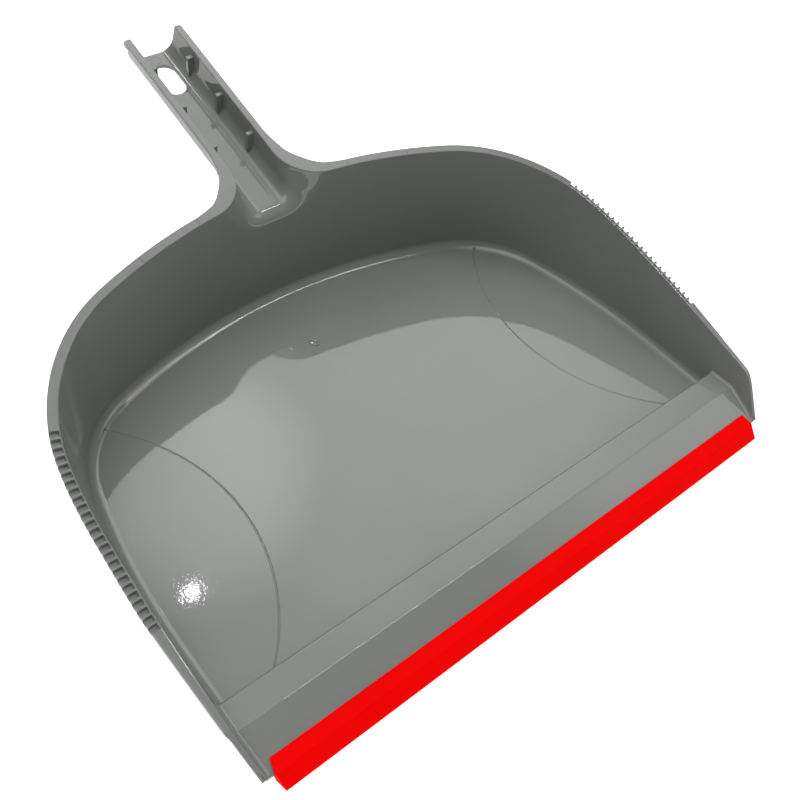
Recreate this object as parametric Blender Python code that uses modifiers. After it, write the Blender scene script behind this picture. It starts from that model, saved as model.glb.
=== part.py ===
"""Dust pan: one moulding (pan, rim and channel handle) and a rubber lip clipped on its front tongue.

Frame: X runs across the pan, -Y out of its mouth, +Z up. The origin is on the ground, under the
middle of the object. All lengths are in metres.
"""
import math

import bmesh
import bpy
import numpy as np

# --- driving dimensions -------------------------------------------------------------------------
WALL = 0.0020                    # thickness of the whole moulding
FLOOR_FILLET = 0.0050            # radius where the walls meet the floor
SLOPE_SHARE = 0.2                # the wall's slope is taken from its foot up to this share
PLACE_STEP = 0.01                # small step along the outline that gives its direction
LOW_WALL = 1.5                   # a wall no taller than this many fillets has no upper rows

FRONT_Y = -0.15905               # front end of the side walls
RIM_HEIGHT = 0.05776             # height of the rim plane above the origin
RIM_ANGLE = math.atan(0.24)      # the rim and the handle rise towards the back
RIM_CORNER = -0.1440             # where the rim turns down to the front corner
FRONT_CORNER_HEIGHT = 0.0050     # height of the side wall at its front end
CORNER_BLEND = 0.0030            # length over which the rim turns down

# An outline is a straight side, then three arcs that turn it through a right angle to the back.
TURNS = (math.radians(14.0), math.radians(56.0), math.radians(20.0))
RIM_OUTLINE = dict(half_width=0.1551, straight_end=-0.05945, radii=(0.155, 0.082))
FLOOR_OUTLINE = dict(half_width=0.1489, straight_end=-0.09325, radii=(0.342, 0.0599))
RIM_FRONT_HALF_WIDTH = 0.1539    # the rim draws in a little towards the front
RIM_WAIST = 0.0010               # and along the comb
RIM_WAIST_Y = -0.0500
RIM_WAIST_REACH = 0.0420

CHANNEL_HALF_WIDTH = 0.0126      # inside of the handle's channel, at the rim
CHANNEL_DEPTH = 0.0145
CHANNEL_DRAFT = math.radians(4.0)
CHANNEL_CORNER = 0.0070
HANDLE_END = 0.16600             # along the handle, from above the origin
MOUTH_RADIUS_TOP = 0.0200        # rounding where the channel opens into the back wall
MOUTH_RADIUS_BOTTOM = 0.0055
MOUTH_EASE = 1.2                 # how the rounding shrinks with depth
MOUTH_RIM_STEP = 0.02            # steps past the mouth's edge that give the direction there
MOUTH_WALL_STEP = 0.0005

FLANGE_WIDTH = 0.0046            # from the wall's inner face to the rim's outer edge
FLANGE_FRONT_WIDTH = 0.00265     # it narrows towards the front corner
FLANGE_TAPER = 0.050
FLANGE_HANDLE_WIDTH = 0.0041
FLANGE_EXTRA = 0.0042            # more at the rounded joint between pan and handle
FLANGE_EXTRA_REACH = 0.030
FLANGE_EXTRA_X = 0.0178          # half width of the rim's inner edge at that joint
FLANGE_RISE = 0.0003
FLANGE_SKIRT = 0.0025
FLANGE_INSET = 0.00035
FLANGE_LEAN = 0.0006             # its inner face leans outwards towards its lower edge

TOOTH_COUNT = 25                 # comb gaps in each side of the rim
TOOTH_FRONT_Y = -0.09885
TOOTH_PITCH = 0.00355
TOOTH_GAP_TOP = 0.0026
TOOTH_GAP_BOTTOM = 0.0019
TOOTH_GAP_DEPTH = 0.0020
TOOTH_GAP_INSET = 0.0006
TOOTH_CUT_REACH = 0.0080         # the cutters run this far outwards, past the rim

RIM_MARKS_X = (0.0432, 0.0766)   # shallow lines across the rim
RIM_MARK_WIDTH = 0.0005
RIM_MARK_DEPTH = 0.00025
RIM_MARK_REACH = 0.0120

STEP_FOOT_Y = -0.12565           # the step behind the ramp
STEP_TOP_Y = -0.12735
RIDGE_Y = -0.14035
TONGUE_FRONT_Y = -0.15935
RAMP_HEIGHT = 0.0123
RAMP_FALL = 0.40                 # slope from the ridge down to the tongue
RAMP_CLEARANCE = 0.0003          # the step's foot ends just above the floor's underside
HOLLOW_SHY = 0.0024              # the hollow stops short of the floor outline's sides
HOLLOW_HEIGHT = 0.0080

LENS_CENTRE = (0.191, -0.05035)  # thin arched grooves in the floor
LENS_RADIUS = 0.101
LENS_BACK = 0.0700               # the grooves end this far behind the arcs' centres
LENS_FRONT = 0.0006              # and this far behind the foot of the step
GROOVE_WIDTH = 0.00107
GROOVE_BOTTOM_WIDTH = 0.0003
GROOVE_DEPTH = 0.00040

RIB_PLACES = (0.0914, 0.1194, 0.1470)
RIB_THICKNESS = 0.0022
RIB_TOP = 0.0026
RIB_FOOT = 0.0123
RIB_REACH = 0.0039
RIB_SOLE = (0.0014, 0.0003)      # across and down from the inner foot to the channel's floor
RIB_BELLY = (0.0008, 0.65)       # the outer edge stays inside the wall at this share of the depth

SLOT_CENTRE = 0.1470             # hang slot in the channel floor, along the handle
SLOT_LENGTH = 0.0205
SLOT_WIDTH = 0.0122
SLOT_CUT_REACH = 0.0055          # the cutter reaches this far above and below the channel floor

LIP_HALF_LENGTH = 0.1454
LIP_GAP = 0.0003
LIP_LEG = 0.0009
LIP_BACK_Y = -0.1540
LIP_NOSE_Y = -0.16615
LIP_CHAMFER = 0.0003             # on the rear edge of the upper leg
LIP_BROW = (0.0006, 1.15)        # where the upper leg bends down: reach, and thickness in legs
LIP_TIP = (0.0004, 0.0006)       # the flap's thin edge: length on the ground, and height
LIP_THROAT = (0.0009, 0.0011)    # the flap's underside meets the lower leg: reach, and height
LIP_LOWER_SHORTER = 0.0012       # the lower leg ends this far in front of the upper one

OVERLAP = 0.0010                 # how far joined pieces reach into each other
CUT_HEADROOM = 0.0020            # how far cutters stand out of the surface that they cut
HANDLE_ROWS = (0.34, 0.67, 1.0)  # where the channel's mesh has rows along the handle
CORNER_ROWS = (0.0, 0.45, 0.82, 0.93, 1.05, 1.2)   # and the wall's, in lengths of the front corner
SIDE_ROWS = (0.32, 0.54, 0.77)   # and in lengths of the straight side
CIRCLE_EASE = 0.5523             # makes a cubic curve follow a quarter of a circle


# --- small helpers ------------------------------------------------------------------------------
def unit(vector):
    return vector / np.linalg.norm(vector)


def mix(a, b, share):
    return a + (b - a) * share


def rim_plane(y):
    return RIM_HEIGHT + math.tan(RIM_ANGLE) * y


def handle_point(along, x, depth):
    """A point given along the handle, across it, and square down from the rim plane."""
    y = along * math.cos(RIM_ANGLE) + depth * math.sin(RIM_ANGLE)
    z = RIM_HEIGHT + along * math.sin(RIM_ANGLE) - depth * math.cos(RIM_ANGLE)
    return np.array([x, y, z])


# --- the wall: a ruled surface between the floor outline and the rim outline -------------------
def outline_point(outline, place):
    """place: 0 to 1 along the straight side, then one unit for each arc; 4 is the middle of the back."""
    half_width, straight_end = outline["half_width"], outline["straight_end"]
    if place <= 1.0:
        return np.array([half_width, mix(FRONT_Y, straight_end, place)])
    x, y, turned = half_width, straight_end, 0.0
    for index, turn in enumerate(TURNS):
        last = index == len(TURNS) - 1
        radius = x / math.cos(turned) if last else outline["radii"][index]
        share = min(max(place - 1.0 - index, 0.0), 1.0)
        angle = turned + turn * share
        x += radius * (math.cos(angle) - math.cos(turned))
        y += radius * (math.sin(angle) - math.sin(turned))
        turned = angle
        if share < 1.0:
            break
    return np.array([x, y])


def rim_point(place):
    """The rim outline in the rim plane, drawn in towards the front."""
    x, y = outline_point(RIM_OUTLINE, place)
    if place < 1.0:
        forward = (RIM_OUTLINE["straight_end"] - y) / (RIM_OUTLINE["straight_end"] - RIM_CORNER)
        x -= (RIM_OUTLINE["half_width"] - RIM_FRONT_HALF_WIDTH) * forward ** 2
    if place < 2.9:
        offset = min(abs(y - RIM_WAIST_Y) / RIM_WAIST_REACH, 1.0)
        x -= RIM_WAIST * math.cos(math.pi / 2.0 * offset) ** 2
    return np.array([x, y, rim_plane(y)])


def floor_point(place):
    x, y = outline_point(FLOOR_OUTLINE, place)
    return np.array([x, y, WALL])


def wall_point(place, share):
    return mix(floor_point(place), rim_point(place), share)


def rim_top(y):
    """Height of the wall's top edge: the rim plane, then down to the front corner."""
    slope = (rim_plane(RIM_CORNER) - FRONT_CORNER_HEIGHT) / (RIM_CORNER - FRONT_Y)
    flat, steep = rim_plane(y), FRONT_CORNER_HEIGHT + slope * (y - FRONT_Y)
    gap = (steep - flat) / (slope * CORNER_BLEND)
    if gap >= 1.0:
        return flat
    if gap <= -1.0:
        return steep
    return flat - slope * CORNER_BLEND * (1.0 - gap) ** 2 / 4.0


def top_share(place):
    """Where the wall line at this place meets the wall's top edge."""
    share = 1.0
    for _ in range(30):
        point = wall_point(place, share)
        foot = wall_point(place, 0.0)[2]
        share = (rim_top(point[1]) - foot) / (rim_point(place)[2] - foot)
    return share


def wall_place(x, z):
    """The place and share of the back wall's point with this x and z."""
    low, high = 2.0, 4.0
    for _ in range(40):
        place = (low + high) / 2.0
        share = (z - WALL) / (rim_point(place)[2] - WALL)
        if wall_point(place, share)[0] > x:
            low = place
        else:
            high = place
    return place, share


def fillet_points(place, count):
    """Points from the wall, round the fillet, to the flat floor."""
    foot, above = floor_point(place), wall_point(place, SLOPE_SHARE)
    ahead = floor_point(min(place + PLACE_STEP, 4.0))
    behind = floor_point(max(place - PLACE_STEP, 0.0))
    along = unit(ahead - behind)
    inward = np.array([-along[1], along[0], 0.0]) if place < 4.0 else np.array([0.0, -1.0, 0.0])
    if place <= 1.0:
        inward = np.array([-1.0, 0.0, 0.0])
    upward = unit(above - foot)
    half_angle = math.acos(float(upward @ inward)) / 2.0
    reach = FLOOR_FILLET / math.tan(half_angle)
    start, end, weight = foot + upward * reach, foot + inward * reach, math.sin(half_angle)
    points = []
    for index in range(count + 1):
        t = index / count
        a, b, c = (1 - t) ** 2, 2 * t * (1 - t) * weight, t ** 2
        points.append((a * start + b * foot + c * end) / (a + b + c))
    return points


# --- the handle's channel and its rounded mouth -------------------------------------------------
def channel_profile(straight, corner, flat):
    """Rows of (x, depth, angle of the outward normal), from the rim to the middle of the channel."""
    centre_depth = CHANNEL_DEPTH - CHANNEL_CORNER
    cos_draft, sin_draft = math.cos(CHANNEL_DRAFT), math.sin(CHANNEL_DRAFT)
    centre_x = CHANNEL_HALF_WIDTH - (CHANNEL_CORNER + centre_depth * sin_draft) / cos_draft
    end_depth = centre_depth + CHANNEL_CORNER * sin_draft
    rows = []
    for index in range(straight):
        depth = end_depth * index / straight
        x = CHANNEL_HALF_WIDTH - depth * math.tan(CHANNEL_DRAFT)
        rows.append((x, depth, CHANNEL_DRAFT * index / straight))
    for index in range(corner + 1):
        angle = mix(CHANNEL_DRAFT, math.pi / 2.0, index / corner)
        x = centre_x + CHANNEL_CORNER * math.cos(angle)
        rows.append((x, centre_depth + CHANNEL_CORNER * math.sin(angle), angle))
    for index in range(1, flat + 1):
        rows.append((centre_x * (1.0 - index / flat), CHANNEL_DEPTH, math.pi / 2.0))
    return rows


def wall_meets_line(x, depth):
    """Where a line along the channel meets the back wall, as a distance along the handle."""
    along = 0.055
    for _ in range(20):
        point = handle_point(along, x, depth)
        place, share = wall_place(x, point[2])
        along += (wall_point(place, share)[1] - point[1]) / math.cos(RIM_ANGLE)
    return along


def mouth_curve(row, count):
    """One line round the mouth: from the back wall (first point) into the channel (last point)."""
    x, depth, angle = row
    radius = mix(MOUTH_RADIUS_TOP, MOUTH_RADIUS_BOTTOM, (depth / CHANNEL_DEPTH) ** MOUTH_EASE)
    along = wall_meets_line(x, depth)
    corner = handle_point(along, x, depth)
    outward = handle_point(0.0, math.cos(angle), math.sin(angle)) - handle_point(0.0, 0.0, 0.0)
    if depth == 0.0:
        place = wall_place(x + radius, corner[2])[0]
        edge, beyond = rim_point(place), rim_point(place - MOUTH_RIM_STEP)
        where = (place, 1.0)
    else:
        target = corner + outward * radius
        where = wall_place(target[0], target[2])
        edge = wall_point(*where)
        beyond = target + outward * MOUTH_WALL_STEP
        beyond = wall_point(*wall_place(beyond[0], beyond[2]))
    inner = corner + unit(handle_point(1.0, 0.0, 0.0) - handle_point(0.0, 0.0, 0.0)) * radius
    ease = CIRCLE_EASE * radius
    handle_in = inner - unit(inner - corner) * ease
    handle_out = edge - unit(beyond - edge) * ease
    points = []
    for index in range(count + 1):
        t = index / count
        a, b, c, d = (1 - t) ** 3, 3 * t * (1 - t) ** 2, 3 * t ** 2 * (1 - t), t ** 3
        points.append(a * edge + b * handle_out + c * handle_in + d * inner)
    return points, where


# --- the inner surface of one half, as grids of points ------------------------------------------
def side_places():
    """Places along the straight side, close together where the rim turns down."""
    length = RIM_OUTLINE["straight_end"] - FRONT_Y
    turn = RIM_CORNER - FRONT_Y
    return [turn * row / length for row in CORNER_ROWS] + list(SIDE_ROWS)


def wall_column(place, share, rows, fillet_rows):
    """Points down the wall from its top share to the floor."""
    fillet = fillet_points(place, fillet_rows)
    foot_share = (fillet[0][2] - WALL) / (rim_point(place)[2] - WALL)
    if share < foot_share * LOW_WALL:
        low = wall_point(place, share)
        return [mix(low, fillet[-1], index / (rows + fillet_rows)) for index in range(rows + fillet_rows + 1)]
    upper = [wall_point(place, mix(share, foot_share, index / rows)) for index in range(rows)]
    return upper + fillet


def fan_column(start, place, rows, fillet_rows):
    """Points down the wall from the edge of the mouth to the floor, spreading sideways."""
    fillet = fillet_points(place, fillet_rows)
    foot_share = (fillet[0][2] - WALL) / (rim_point(place)[2] - WALL)
    upper = []
    for index in range(rows):
        t = index / rows
        upper.append(wall_point(mix(start[0], place, t), mix(start[1], foot_share, t)))
    return upper + fillet


def pan_grids(arc_steps=(3, 10, 4), rows=3, fillet_rows=4, profile=(3, 6, 2), mouth_steps=7):
    """Grids of the wall and of the channel, and the points of the rim from front to handle end."""
    profile_rows = channel_profile(*profile)
    mouths = [mouth_curve(row, mouth_steps) for row in profile_rows]
    first_place = mouths[0][1][0]
    places = side_places()
    limits = (1.0, 2.0, 3.0, first_place)
    for low, high, steps in zip(limits[:-1], limits[1:], arc_steps):
        places += [mix(low, high, index / steps) for index in range(steps)]
    wall = [wall_column(place, top_share(place), rows, fillet_rows) for place in places]
    for index, (_, where) in enumerate(mouths):
        place = mix(first_place, 4.0, index / (len(mouths) - 1))
        wall.append(fan_column(where, place, rows, fillet_rows))
    wall[-1] = [point * np.array([0.0, 1.0, 1.0]) for point in wall[-1]]
    channel = []
    for (x, depth, _), (points, _) in zip(profile_rows, mouths):
        start = wall_meets_line(x, depth) + np.linalg.norm(points[-1] - handle_point(
            wall_meets_line(x, depth), x, depth))
        run = [handle_point(mix(start, HANDLE_END, share), x, depth) for share in HANDLE_ROWS]
        channel.append(points + run)
    rim = [column[0] for column in wall[:len(places)]] + channel[0]
    return wall, channel, rim


# --- meshes --------------------------------------------------------------------------------------
def add_grid(mesh, grid):
    """Quads between neighbouring columns of a grid; the doubles are merged afterwards."""
    verts = [[mesh.verts.new(point) for point in column] for column in grid]
    for left, right in zip(verts[:-1], verts[1:]):
        for row in range(len(left) - 1):
            mesh.faces.new((left[row], left[row + 1], right[row + 1], right[row]))


def finish_mesh(mesh, name):
    """Weld, face outwards and turn the bmesh into an object's mesh."""
    bmesh.ops.remove_doubles(mesh, verts=mesh.verts, dist=1e-6)
    bmesh.ops.dissolve_degenerate(mesh, edges=mesh.edges, dist=1e-7)
    bmesh.ops.recalc_face_normals(mesh, faces=mesh.faces)
    data = bpy.data.meshes.new(name)
    mesh.to_mesh(data)
    mesh.free()
    return data


def new_object(name, data, collection, material=None):
    piece = bpy.data.objects.new(name, data)
    collection.objects.link(piece)
    if material:
        data.materials.append(material)
    return piece


def prism(outline, low, high, name):
    """A closed prism: a (y, z) outline between two x values, which may be functions of (y, z)."""
    mesh = bmesh.new()
    ends = []
    for side in (low, high):
        ends.append([mesh.verts.new((side(y, z) if callable(side) else side, y, z)) for y, z in outline])
    mesh.faces.new(ends[0])
    mesh.faces.new(list(reversed(ends[1])))
    for index, first in enumerate(ends[0]):
        after = (index + 1) % len(outline)
        mesh.faces.new((first, ends[1][index], ends[1][after], ends[0][after]))
    bmesh.ops.recalc_face_normals(mesh, faces=mesh.faces)
    data = bpy.data.meshes.new(name)
    mesh.to_mesh(data)
    mesh.free()
    return data


def add_tube(mesh, rings):
    """A closed solid swept through rings of the same number of points."""
    verts = [[mesh.verts.new(point) for point in ring] for ring in rings]
    for left, right in zip(verts[:-1], verts[1:]):
        for index in range(len(left)):
            after = (index + 1) % len(left)
            mesh.faces.new((left[index], left[after], right[after], right[index]))
    mesh.faces.new(verts[0])
    mesh.faces.new(list(reversed(verts[-1])))


def mirrored(rings):
    return [[point * np.array([-1.0, 1.0, 1.0]) for point in ring] for ring in rings]


def add_modifier_boolean(piece, cutter, operation):
    modifier = piece.modifiers.new(cutter.name, "BOOLEAN")
    modifier.object = cutter
    modifier.operation = operation
    modifier.solver = "EXACT"


def tray_mesh(wall, channel):
    """The open inner surface of one half: wall, channel and flat floor."""
    mesh = bmesh.new()
    add_grid(mesh, wall)
    add_grid(mesh, channel)
    edge = [column[-1] for column in wall]
    corner = np.array([0.0, FRONT_Y, WALL])
    mesh.faces.new([mesh.verts.new(point) for point in edge + [corner]])
    data = finish_mesh(mesh, "pan_inner_surface")
    if data.polygons[0].normal.x > 0.0:
        data.flip_normals()
    return data


def rim_directions(tangent):
    """The outward direction, within the rim plane, and the upward direction, square to both."""
    outward = unit(np.cross(tangent, np.array([0.0, -math.sin(RIM_ANGLE), math.cos(RIM_ANGLE)])))
    return outward, np.cross(outward, tangent)


def rim_frames(rim):
    """For each rim point: its outward normal, its upward normal and the flange width there."""
    lengths = [0.0]
    for before, after in zip(rim[:-1], rim[1:]):
        lengths.append(lengths[-1] + float(np.linalg.norm(after - before)))
    middle = next(lengths[index] for index, point in enumerate(rim) if point[0] < FLANGE_EXTRA_X)
    frames = []
    for index, point in enumerate(rim):
        tangent = unit(rim[min(index + 1, len(rim) - 1)] - rim[max(index - 1, 0)])
        outward, upward = rim_directions(tangent)
        offset = (lengths[index] - middle) / FLANGE_EXTRA_REACH
        extra = FLANGE_EXTRA * math.cos(math.pi / 2.0 * min(abs(offset), 1.0)) ** 2
        towards_handle = min(max((offset + 1.0) / 2.0, 0.0), 1.0)
        from_front = min(max((point[1] - RIM_CORNER) / FLANGE_TAPER, 0.0), 1.0)
        width = mix(FLANGE_WIDTH, FLANGE_HANDLE_WIDTH, towards_handle)
        width = mix(FLANGE_FRONT_WIDTH, width, from_front)
        frames.append((point, outward, upward, width + extra))
    return frames


def flange_mesh(rim):
    """The rim's flange on both sides, as two closed bars that reach into the wall."""
    rings = []
    for point, outward, upward, width in rim_frames([p for p in rim if p[1] > RIM_CORNER]):
        top, low = upward * FLANGE_RISE, -upward * FLANGE_SKIRT
        inner, outer = outward * FLANGE_INSET, outward * width
        leaned = inner + outward * FLANGE_LEAN
        rings.append([point + inner + top, point + outer + top, point + outer + low, point + leaned + low])
    end = unit(rim[-1] - rim[-2]) * FLANGE_INSET
    rings[-1] = [point + end for point in rings[-1]]
    mesh = bmesh.new()
    add_tube(mesh, rings)
    add_tube(mesh, mirrored(rings))
    return finish_mesh(mesh, "rim_flange")


def rim_frame_at(rim, y):
    """Point, tangent, outward and upward directions of the side rim at this y."""
    for before, after in zip(rim[:-1], rim[1:]):
        if before[1] <= y <= after[1]:
            share = (y - before[1]) / (after[1] - before[1])
            tangent = unit(after - before)
            return mix(before, after, share), tangent, *rim_directions(tangent)
    raise ValueError("no rim at this y")


def cross_cut(frame, gap_top, gap_bottom, depth, inset, reach):
    """Two rings of a cutter that runs outwards across the rim."""
    point, tangent, outward, upward = frame
    above = upward * CUT_HEADROOM
    rings = []
    for distance in (inset, reach):
        base = point + outward * distance
        floor = base + upward * (FLANGE_RISE - depth)
        rings.append([
            base + above + tangent * gap_top / 2, base + above - tangent * gap_top / 2,
            floor - tangent * gap_bottom / 2, floor + tangent * gap_bottom / 2])
    return rings


def comb_mesh(rim):
    """Cutters of the comb gaps, evenly spaced along the rim, on both sides."""
    mesh = bmesh.new()
    y = TOOTH_FRONT_Y + TOOTH_PITCH / 2.0
    for _ in range(TOOTH_COUNT):
        frame = rim_frame_at(rim, y)
        rings = cross_cut(
            frame, TOOTH_GAP_TOP, TOOTH_GAP_BOTTOM, TOOTH_GAP_DEPTH, TOOTH_GAP_INSET, TOOTH_CUT_REACH)
        add_tube(mesh, rings)
        add_tube(mesh, mirrored(rings))
        y += TOOTH_PITCH * frame[1][1] / math.cos(RIM_ANGLE)
    return finish_mesh(mesh, "comb_gaps")


def rim_mark_mesh(rim):
    mesh = bmesh.new()
    for x in RIM_MARKS_X:
        place = wall_place(x, rim_plane(0.05))[0]
        frame = rim_frame_at(rim, rim_point(place)[1])
        rings = cross_cut(
            frame, RIM_MARK_WIDTH, RIM_MARK_WIDTH, RIM_MARK_DEPTH, -OVERLAP, RIM_MARK_REACH)
        add_tube(mesh, rings)
        add_tube(mesh, mirrored(rings))
    return finish_mesh(mesh, "rim_marks")


def ramp_outline():
    """The bent front sheet: step, shelf, ridge and the slope down to the tongue."""
    tongue = RAMP_HEIGHT - RAMP_FALL * (RIDGE_Y - TONGUE_FRONT_Y)
    under = WALL * math.sqrt(1.0 + RAMP_FALL ** 2)
    inset = WALL * math.tan(math.atan(RAMP_FALL) / 2.0)
    low = RAMP_CLEARANCE
    return [
        (STEP_FOOT_Y, low), (STEP_TOP_Y, RAMP_HEIGHT), (RIDGE_Y, RAMP_HEIGHT),
        (TONGUE_FRONT_Y, tongue), (TONGUE_FRONT_Y, tongue - under),
        (RIDGE_Y + inset, RAMP_HEIGHT - WALL), (STEP_TOP_Y - WALL, RAMP_HEIGHT - WALL),
        (STEP_FOOT_Y - WALL, low)]


def wall_x(y, z):
    """Inner face of the side wall near the front."""
    place = (y - FRONT_Y) / (FLOOR_OUTLINE["straight_end"] - FRONT_Y)
    share = (z - WALL) / (rim_plane(y) - WALL)
    return mix(FLOOR_OUTLINE["half_width"], rim_point(min(place, 1.0))[0], share)


def tongue_top(y):
    return RAMP_HEIGHT - RAMP_FALL * (RIDGE_Y - y)


def lip_outline():
    """Section of the rubber lip: two legs round the tongue and a flap down to the ground."""
    thick = math.sqrt(1.0 + RAMP_FALL ** 2)
    front = TONGUE_FRONT_Y - LIP_GAP
    brow, brow_legs = LIP_BROW
    tip_length, tip_height = LIP_TIP
    throat, throat_height = LIP_THROAT
    back_low = LIP_BACK_Y - LIP_LOWER_SHORTER
    seat = LIP_GAP * thick
    under = (WALL + LIP_GAP) * thick
    return [
        (LIP_BACK_Y, tongue_top(LIP_BACK_Y) + seat),
        (LIP_BACK_Y - LIP_CHAMFER, tongue_top(LIP_BACK_Y) + seat + LIP_LEG * thick),
        (front - brow, tongue_top(front) + seat + brow_legs * LIP_LEG * thick),
        (LIP_NOSE_Y, tip_height), (LIP_NOSE_Y + tip_length, 0.0),
        (front - throat, throat_height),
        (back_low, tongue_top(back_low) - under - LIP_LEG * thick),
        (back_low, tongue_top(back_low) - under),
        (front, tongue_top(front) - under),
        (front, tongue_top(front) + seat)]


def rib_point(along, x, depth):
    """The ribs stand upright, so that they lean against the square of the rim plane."""
    return handle_point(along - math.tan(RIM_ANGLE) * (depth - RIB_TOP), x, depth)


def rib_mesh():
    """Six thin gussets that run down the channel's walls and end on its rounded corners."""
    mesh = bmesh.new()
    inside = CHANNEL_HALF_WIDTH + OVERLAP
    tip = CHANNEL_HALF_WIDTH - RIB_REACH
    belly, belly_share = RIB_BELLY
    outline = [
        (inside, RIB_TOP), (tip, RIB_TOP), (tip, RIB_FOOT),
        (tip + RIB_SOLE[0], RIB_FOOT + RIB_SOLE[1]),
        (inside - belly, mix(RIB_TOP, RIB_FOOT, belly_share))]
    for along in RIB_PLACES:
        rings = [[rib_point(along + side * RIB_THICKNESS / 2, x, depth) for x, depth in outline]
                 for side in (-1, 1)]
        add_tube(mesh, rings)
        add_tube(mesh, mirrored(rings))
    return finish_mesh(mesh, "channel_ribs")


def slot_mesh():
    """A round-ended cutter square to the channel floor."""
    radius, straight, steps = SLOT_WIDTH / 2, (SLOT_LENGTH - SLOT_WIDTH) / 2, 10
    outline = []
    for end in (1, -1):
        for index in range(steps + 1):
            angle = math.pi * index / steps
            x, along = radius * math.cos(angle) * end, straight + radius * math.sin(angle)
            outline.append((x, SLOT_CENTRE + along * end))
    depths = (CHANNEL_DEPTH - SLOT_CUT_REACH, CHANNEL_DEPTH + SLOT_CUT_REACH)
    rings = [[handle_point(along, x, depth) for x, along in outline] for depth in depths]
    mesh = bmesh.new()
    add_tube(mesh, rings)
    return finish_mesh(mesh, "hang_slot")


def groove_half_width(height):
    """Half the groove's width at this height above the floor; its sides lean outwards."""
    widening = (GROOVE_WIDTH - GROOVE_BOTTOM_WIDTH) / GROOVE_DEPTH
    return (GROOVE_BOTTOM_WIDTH + widening * (height + GROOVE_DEPTH)) / 2.0


def groove_mesh():
    """Cutters of the two arched grooves in the floor."""
    mesh = bmesh.new()
    start = math.asin((STEP_FOOT_Y + LENS_FRONT - LENS_CENTRE[1]) / LENS_RADIUS)
    end = math.asin(LENS_BACK / LENS_RADIUS)
    steps = 26
    rings = []
    for index in range(steps + 1):
        angle = mix(start, end, index / steps)
        ring = []
        for side, height in ((-1, OVERLAP), (1, OVERLAP), (1, -GROOVE_DEPTH), (-1, -GROOVE_DEPTH)):
            radius = LENS_RADIUS + side * groove_half_width(height)
            x, y = LENS_CENTRE[0] - radius * math.cos(angle), LENS_CENTRE[1] + radius * math.sin(angle)
            ring.append(np.array([x, y, WALL + height]))
        rings.append(ring)
    add_tube(mesh, rings)
    add_tube(mesh, mirrored(rings))
    return finish_mesh(mesh, "floor_grooves")


def front_opening_mesh():
    """Clears the floor from under the hollow ramp."""
    side = FLOOR_OUTLINE["half_width"] - HOLLOW_SHY
    front, back, low = FRONT_Y - OVERLAP, STEP_FOOT_Y - WALL / 2, -CUT_HEADROOM
    outline = [(front, low), (front, HOLLOW_HEIGHT), (back, HOLLOW_HEIGHT), (back, low)]
    return prism(outline, -side, side, "ramp_hollow")


def plastic(name, colour, roughness):
    material = bpy.data.materials.new(name)
    material.use_nodes = True
    shader = material.node_tree.nodes["Principled BSDF"]
    shader.inputs["Base Color"].default_value = (*colour, 1.0)
    shader.inputs["Roughness"].default_value = roughness
    shader.inputs["Metallic"].default_value = 0.0
    return material


def clear_scene():
    for piece in list(bpy.data.objects):
        bpy.data.objects.remove(piece, do_unlink=True)


def build():
    clear_scene()
    parts = bpy.data.collections.new("dust_pan")
    cutters = bpy.data.collections.new("cutters")
    for collection in (parts, cutters):
        bpy.context.scene.collection.children.link(collection)
    grey = plastic("grey_gloss_plastic", (0.20, 0.205, 0.195), 0.22)
    red = plastic("red_rubber", (0.85, 0.0, 0.0), 0.55)

    wall, channel, rim = pan_grids()
    body = new_object("pan_body", tray_mesh(wall, channel), parts, grey)
    mirror = body.modifiers.new("halves", "MIRROR")
    mirror.merge_threshold = 0.00001
    shell = body.modifiers.new("shell", "SOLIDIFY")
    shell.thickness = WALL
    shell.offset = -1.0
    shell.use_even_offset = True

    def ramp_end(sign):
        return lambda y, z: sign * (wall_x(y, z) + OVERLAP)

    tools = (
        (front_opening_mesh(), "DIFFERENCE"),
        (prism(ramp_outline(), ramp_end(-1), ramp_end(1), "front_ramp"), "UNION"),
        (flange_mesh(rim), "UNION"),
        (rib_mesh(), "UNION"),
        (slot_mesh(), "DIFFERENCE"),
        (comb_mesh(rim), "DIFFERENCE"),
        (rim_mark_mesh(rim), "DIFFERENCE"),
        (groove_mesh(), "DIFFERENCE"),
    )
    for data, operation in tools:
        tool = new_object(data.name, data, cutters)
        tool.hide_render = True
        tool.display_type = "WIRE"
        add_modifier_boolean(body, tool, operation)

    lip_data = prism(lip_outline(), -LIP_HALF_LENGTH, LIP_HALF_LENGTH, "rubber_lip")
    new_object("rubber_lip", lip_data, parts, red)


build()
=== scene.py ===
"""The looks of the dust pan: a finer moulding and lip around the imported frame, their materials, the
studio and the camera. Lengths are in metres, in the frame's axes: X across the pan, -Y out of its
mouth, +Z up.
"""
import math

import bmesh
import bpy
import numpy as np
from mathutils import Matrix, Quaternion, Vector


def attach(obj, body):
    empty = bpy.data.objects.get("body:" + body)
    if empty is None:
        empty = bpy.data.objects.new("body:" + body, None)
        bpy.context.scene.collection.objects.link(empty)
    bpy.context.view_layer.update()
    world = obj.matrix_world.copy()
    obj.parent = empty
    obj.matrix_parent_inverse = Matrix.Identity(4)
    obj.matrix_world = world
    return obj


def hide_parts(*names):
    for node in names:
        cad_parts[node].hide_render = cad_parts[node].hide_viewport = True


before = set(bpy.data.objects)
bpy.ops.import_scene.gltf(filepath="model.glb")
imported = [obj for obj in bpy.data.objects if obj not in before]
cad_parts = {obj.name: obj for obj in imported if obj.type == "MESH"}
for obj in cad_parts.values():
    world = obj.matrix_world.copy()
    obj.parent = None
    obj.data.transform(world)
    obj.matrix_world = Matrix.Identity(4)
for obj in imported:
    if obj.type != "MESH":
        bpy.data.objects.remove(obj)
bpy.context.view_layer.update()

# --- the moulding's dimensions, the same as the frame's ---
WALL = 0.0020
FLOOR_FILLET = 0.0050
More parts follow.
